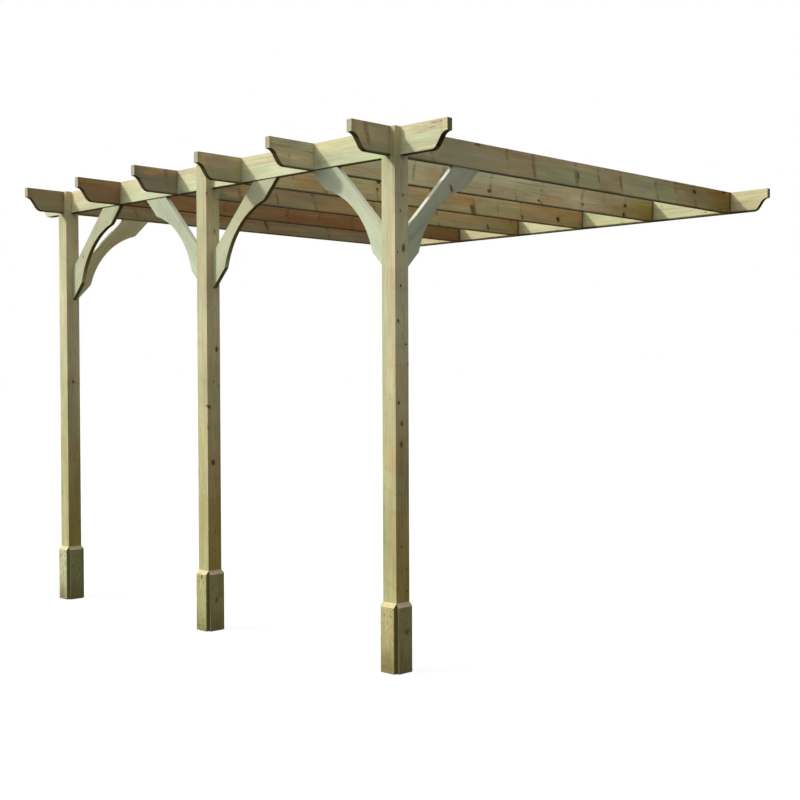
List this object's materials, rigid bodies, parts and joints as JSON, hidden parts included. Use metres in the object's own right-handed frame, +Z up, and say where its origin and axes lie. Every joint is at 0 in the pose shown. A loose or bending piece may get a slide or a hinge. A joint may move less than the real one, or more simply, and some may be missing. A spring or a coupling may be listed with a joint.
{
  "type": "wall-mounted timber pergola",
  "caption": "Wall-mounted timber pergola: rafters run from a wall beam over a front beam with ogee ends, on posts with scooped knee braces and boarded feet.",
  "frame": {"origin": "centre of the wall beam's back face, which lies on the wall", "axes": "+X along the beams to the right as seen from the garden, +Y into the wall, +Z up"},
  "size_m": [3.68, 3.443, 2.63],
  "materials": {
    "post_timber": "planed softwood, pressure treated, matt",
    "base_timber": "planed softwood, pressure treated, matt",
    "beam_timber": "planed softwood, pressure treated, matt",
    "rafter_timber": "planed softwood, pressure treated, matt",
    "brace_timber": "planed softwood, pressure treated, matt"
  },
  "bodies": {
    "root": {"left_post": "post_timber", "middle_post": "post_timber", "right_post": "post_timber", "left_post_base_front": "base_timber", "left_post_base_right": "base_timber", "left_post_base_back": "base_timber", "left_post_base_left": "base_timber", "middle_post_base_front": "base_timber", "middle_post_base_right": "base_timber", "middle_post_base_back": "base_timber", "middle_post_base_left": "base_timber", "right_post_base_front": "base_timber", "right_post_base_right": "base_timber", "right_post_base_back": "base_timber", "right_post_base_left": "base_timber", "front_beam": "beam_timber", "wall_beam": "beam_timber", "rafter_1": "rafter_timber", "rafter_2": "rafter_timber", "rafter_3": "rafter_timber", "rafter_4": "rafter_timber", "rafter_5": "rafter_timber", "rafter_6": "rafter_timber", "left_beam_brace": "brace_timber", "middle_beam_brace_left": "brace_timber", "middle_beam_brace_right": "brace_timber", "right_beam_brace": "brace_timber", "left_rafter_brace": "brace_timber", "right_rafter_brace": "brace_timber"}
  },
  "joints": []
}
